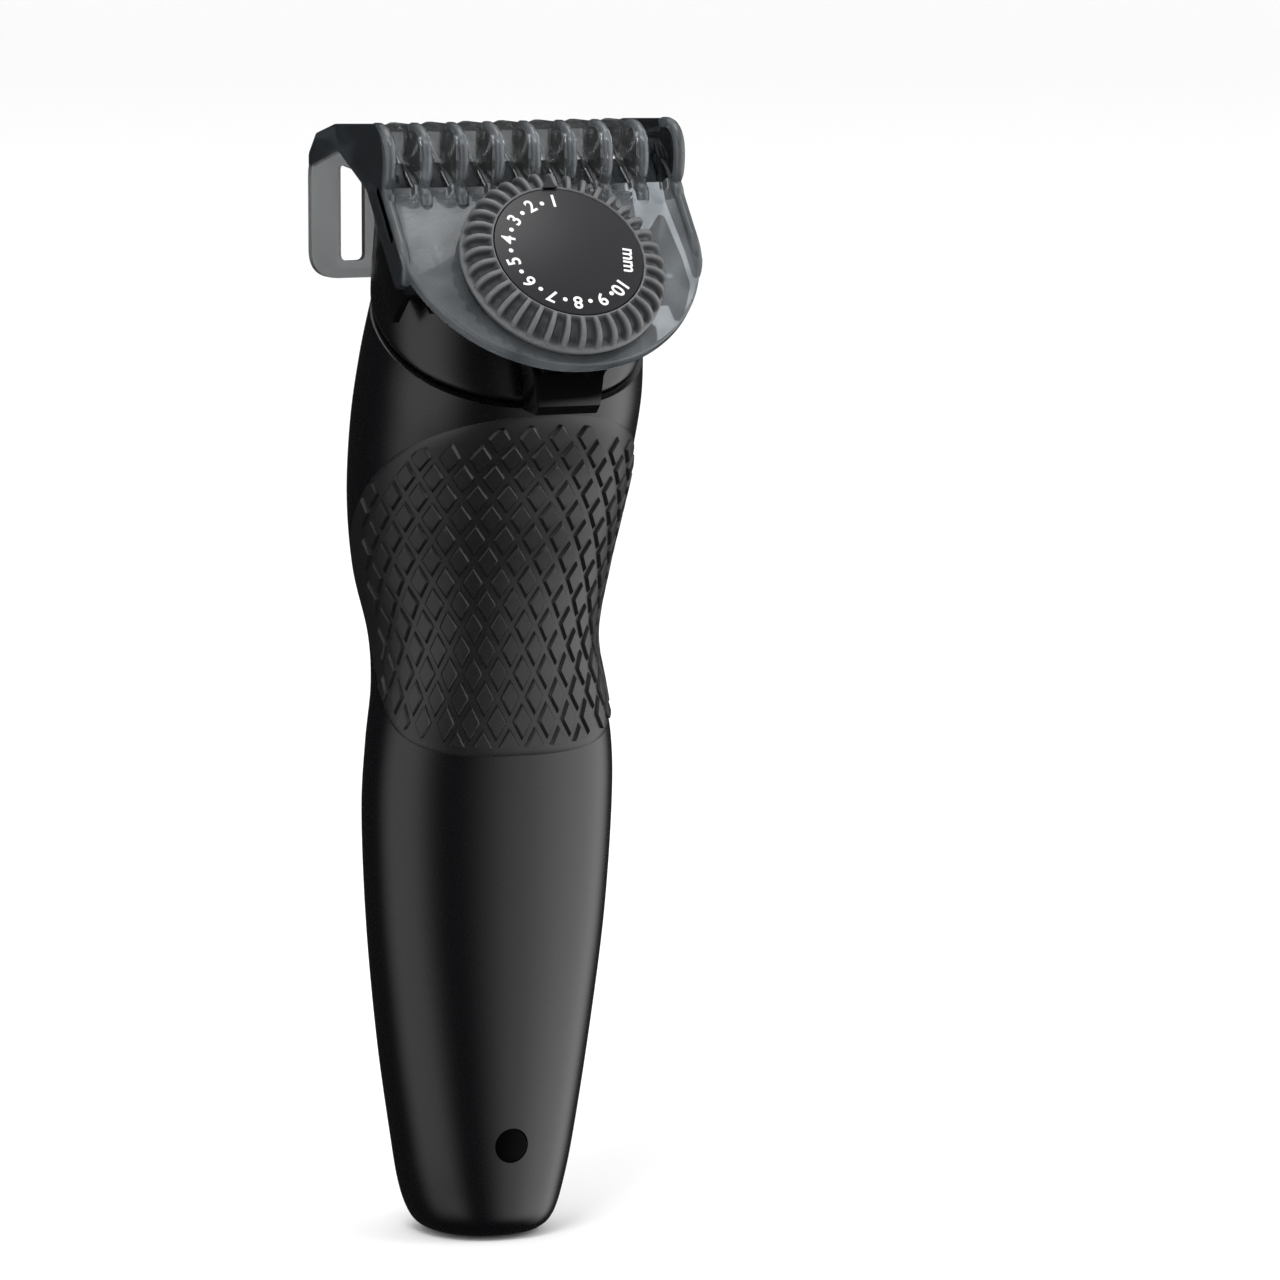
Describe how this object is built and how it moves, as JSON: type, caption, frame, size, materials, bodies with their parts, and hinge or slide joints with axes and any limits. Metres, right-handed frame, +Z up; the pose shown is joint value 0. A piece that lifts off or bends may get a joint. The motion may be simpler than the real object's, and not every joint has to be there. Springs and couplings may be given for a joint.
{
  "type": "hair clipper",
  "caption": "Cordless beard and hair clipper with a waisted handle, a sloping cutting head and a clear guide comb set by a ribbed thumb wheel.",
  "frame": {"origin": "centre of the flat foot at the bottom of the handle", "axes": "+Z up along the handle, -Y towards the front with the comb and wheel, +X across"},
  "size_m": [0.0446, 0.0544, 0.1586],
  "materials": {
    "shell_black": "fine satin texture",
    "grip_rubber": "soft touch, diamond pattern",
    "trim_black": "gloss",
    "inner_black": "moulded",
    "smoky_clear": "translucent, polished",
    "wheel_grey": "matte",
    "disc_black": "satin",
    "steel": "ground",
    "spring_steel": "polished",
    "board_green": "solder mask",
    "cell_blue": "shrink sleeve",
    "acetal_white": "moulded",
    "led_white": "clear resin",
    "lead_red": "insulation"
  },
  "bodies": {
    "handle": {"front_shell": "shell_black", "rear_shell": "shell_black", "grip_panel": "grip_rubber", "foot_pad": "grip_rubber", "neck_ring": "inner_black", "light_pipe": "trim_black", "button_seal": "grip_rubber", "power_switch": "inner_black", "circuit_board": "board_green", "charge_led": "led_white", "charging_socket": "spring_steel", "control_chip": "inner_black", "battery_cell": "cell_blue", "battery_tabs": "spring_steel", "battery_cradle": "inner_black", "motor_can": "steel", "motor_end_cap": "acetal_white", "motor_bracket": "inner_black", "motor_screws": "spring_steel", "motor_leads": "lead_red", "housing_screws": "spring_steel"},
    "rotor": {"motor_shaft": "steel", "eccentric_cam": "acetal_white"},
    "power_key": {"power_button": "trim_black"},
    "head": {"head_housing": "shell_black", "head_insert": "inner_black", "fixed_blade": "steel", "blade_screws": "spring_steel", "blade_spring": "spring_steel"},
    "cutter": {"moving_blade": "steel", "drive_fork": "acetal_white"},
    "carriage": {"comb_carriage": "trim_black", "follower_pin": "steel"},
    "comb": {"guide_comb": "smoky_clear", "dial_bridge": "trim_black", "bridge_screws": "spring_steel", "dial_disc": "disc_black", "detent_spring": "spring_steel"},
    "dial": {"dial_ring": "wheel_grey", "dial_cam": "trim_black"}
  },
  "joints": [
    {"name": "motor_spin", "type": "hinge", "parent": "handle", "child": "rotor", "pos_m": [0, -0.004, 0.1], "axis": [0, 0, 1], "continuous": true},
    {"name": "power_press", "type": "slide", "parent": "handle", "child": "power_key", "axis": [0, -1, 0], "range_m": [0, 0.0008], "stiffness_N_per_m": 1500, "springref_m": -0.0012},
    {"name": "head_release", "type": "slide", "parent": "handle", "child": "head", "axis": [0, 0, 1], "range_m": [0, 0.025]},
    {"name": "cutter_slide", "type": "slide", "parent": "head", "child": "cutter", "axis": [1, 0, 0], "range_m": [-0.001, 0.001]},
    {"name": "comb_release", "type": "slide", "parent": "head", "child": "carriage", "axis": [0, 0, 1], "range_m": [0, 0.03]},
    {"name": "comb_adjust", "type": "slide", "parent": "carriage", "child": "comb", "axis": [0, 0.6428, 0.766], "range_m": [0, 0.009]},
    {"name": "dial_turn", "type": "hinge", "parent": "comb", "child": "dial", "pos_m": [0, -0.0336, 0.1415], "axis": [0, -0.766, 0.6428], "range_deg": [0, 223.46]}
  ],
  "couplings": [
    {"joint": "dial_turn", "follows": "comb_adjust", "rad_per_m": 433.32}
  ]
}
